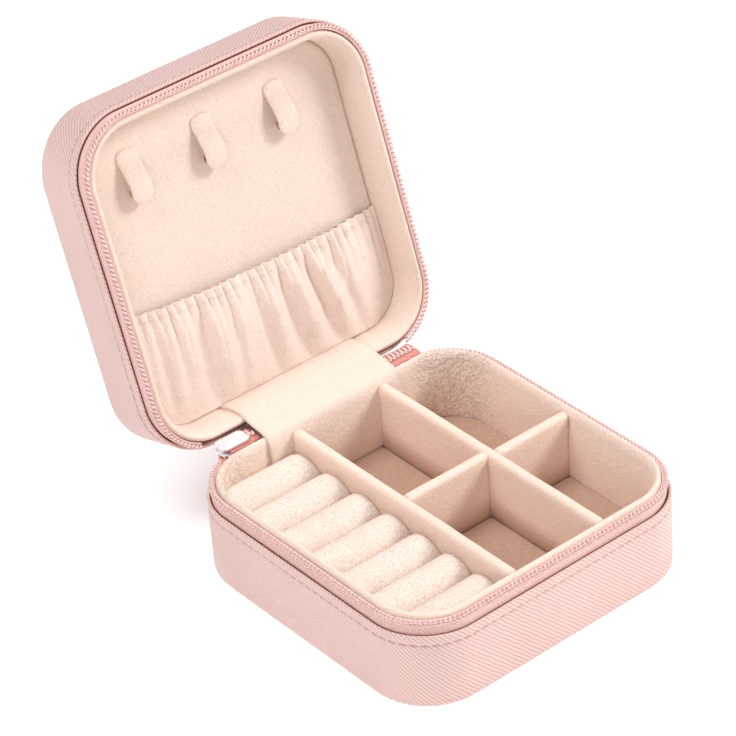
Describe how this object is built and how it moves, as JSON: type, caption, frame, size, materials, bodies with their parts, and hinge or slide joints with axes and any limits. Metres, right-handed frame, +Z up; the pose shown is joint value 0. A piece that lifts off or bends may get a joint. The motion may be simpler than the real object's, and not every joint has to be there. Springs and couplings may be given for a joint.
{
  "type": "travel jewelry box",
  "caption": "Square zip-round travel jewelry box with a leather-look shell, ring rolls, divided trays, necklace straps and a gathered lid pocket.",
  "frame": {"origin": "centre of the underside of the base", "axes": "+Z up, +Y towards the hinge, -Y towards the front, +X to the right"},
  "size_m": [0.1, 0.1542, 0.1208],
  "materials": {
    "pink_leather": "fine cross-grain, satin",
    "velvet": "short pile velvet",
    "board": "plain grey board",
    "foam": "open cell foam",
    "zipper_tape": "woven",
    "zipper_coil": "nylon coil",
    "slider_metal": "satin",
    "pull_metal": "rose gold",
    "snap_metal": "aged",
    "elastic": "knitted"
  },
  "bodies": {
    "base": {"base_bottom_board": "board", "base_bottom_leather": "pink_leather", "base_floor_foam": "foam", "base_lining_floor": "velvet", "base_lining_wall": "velvet", "base_side_leather": "pink_leather", "base_wall_board": "board", "base_zipper_coil": "zipper_coil", "base_zipper_tape": "zipper_tape", "hinge_leather": "pink_leather", "hinge_liner": "velvet", "middle_divider": "velvet", "ring_divider": "velvet", "ring_foam_block": "foam", "ring_roll_1": "velvet", "ring_roll_2": "velvet", "ring_roll_3": "velvet", "ring_roll_4": "velvet", "ring_roll_5": "velvet", "ring_roll_6": "velvet", "ring_roll_7": "velvet"},
    "lid": {"lid_foam_pad": "foam", "lid_lining_wall": "velvet", "lid_panel": "velvet", "lid_panel_board": "board", "lid_pocket": "velvet", "lid_side_leather": "pink_leather", "lid_top_board": "board", "lid_top_leather": "pink_leather", "lid_wall_board": "board", "lid_zipper_coil": "zipper_coil", "lid_zipper_tape": "zipper_tape", "pocket_elastic": "elastic", "snap_stud_1": "snap_metal", "snap_stud_2": "snap_metal", "snap_stud_3": "snap_metal"},
    "zip_fold": {"left_chain_end": "zipper_coil", "right_chain_end": "zipper_coil"},
    "slider": {"zipper_slider": "slider_metal"},
    "pull": {"zipper_pull": "pull_metal"},
    "left_cross": {"left_cross_divider": "velvet"},
    "right_cross": {"right_cross_divider": "velvet"},
    "strap_1": {"necklace_strap_1": "velvet", "snap_socket_1": "snap_metal"},
    "strap_2": {"necklace_strap_2": "velvet", "snap_socket_2": "snap_metal"},
    "strap_3": {"necklace_strap_3": "velvet", "snap_socket_3": "snap_metal"}
  },
  "joints": [
    {"name": "lid_hinge", "type": "hinge", "parent": "base", "child": "lid", "pos_m": [0, 0.051, 0.026], "axis": [-1, 0, 0], "range_deg": [-107.6, 0], "deforming": ["hinge_liner", "hinge_leather"]},
    {"name": "zip_fold", "type": "hinge", "parent": "base", "child": "zip_fold", "pos_m": [0, 0.04975, 0.0265], "axis": [-1, 0, 0], "range_deg": [-90, 0]},
    {"name": "slider_run", "type": "slide", "parent": "zip_fold", "child": "slider", "axis": [-1, 0, 0], "range_m": [0, 0.005]},
    {"name": "pull_swing", "type": "hinge", "parent": "slider", "child": "pull", "pos_m": [-0.0326, 0.0525, 0.02605], "axis": [0, 1, 0], "range_deg": [-10, 85]},
    {"name": "strap_1_open", "type": "hinge", "parent": "lid", "child": "strap_1", "pos_m": [-0.0283, 0.0906, 0.10471], "axis": [-1, 0, 0], "range_deg": [0, 100]},
    {"name": "strap_2_open", "type": "hinge", "parent": "lid", "child": "strap_2", "pos_m": [-0.0029, 0.0906, 0.10471], "axis": [-1, 0, 0], "range_deg": [0, 100]},
    {"name": "strap_3_open", "type": "hinge", "parent": "lid", "child": "strap_3", "pos_m": [0.0226, 0.0906, 0.10471], "axis": [-1, 0, 0], "range_deg": [0, 100]},
    {"name": "left_cross_lift", "type": "slide", "parent": "base", "child": "left_cross", "axis": [0, 0, 1], "range_m": [0, 0.022]},
    {"name": "right_cross_lift", "type": "slide", "parent": "base", "child": "right_cross", "axis": [0, 0, 1], "range_m": [0, 0.022]}
  ],
  "couplings": [
    {"joint": "zip_fold", "follows": "lid_hinge", "ratio": 0.836}
  ]
}
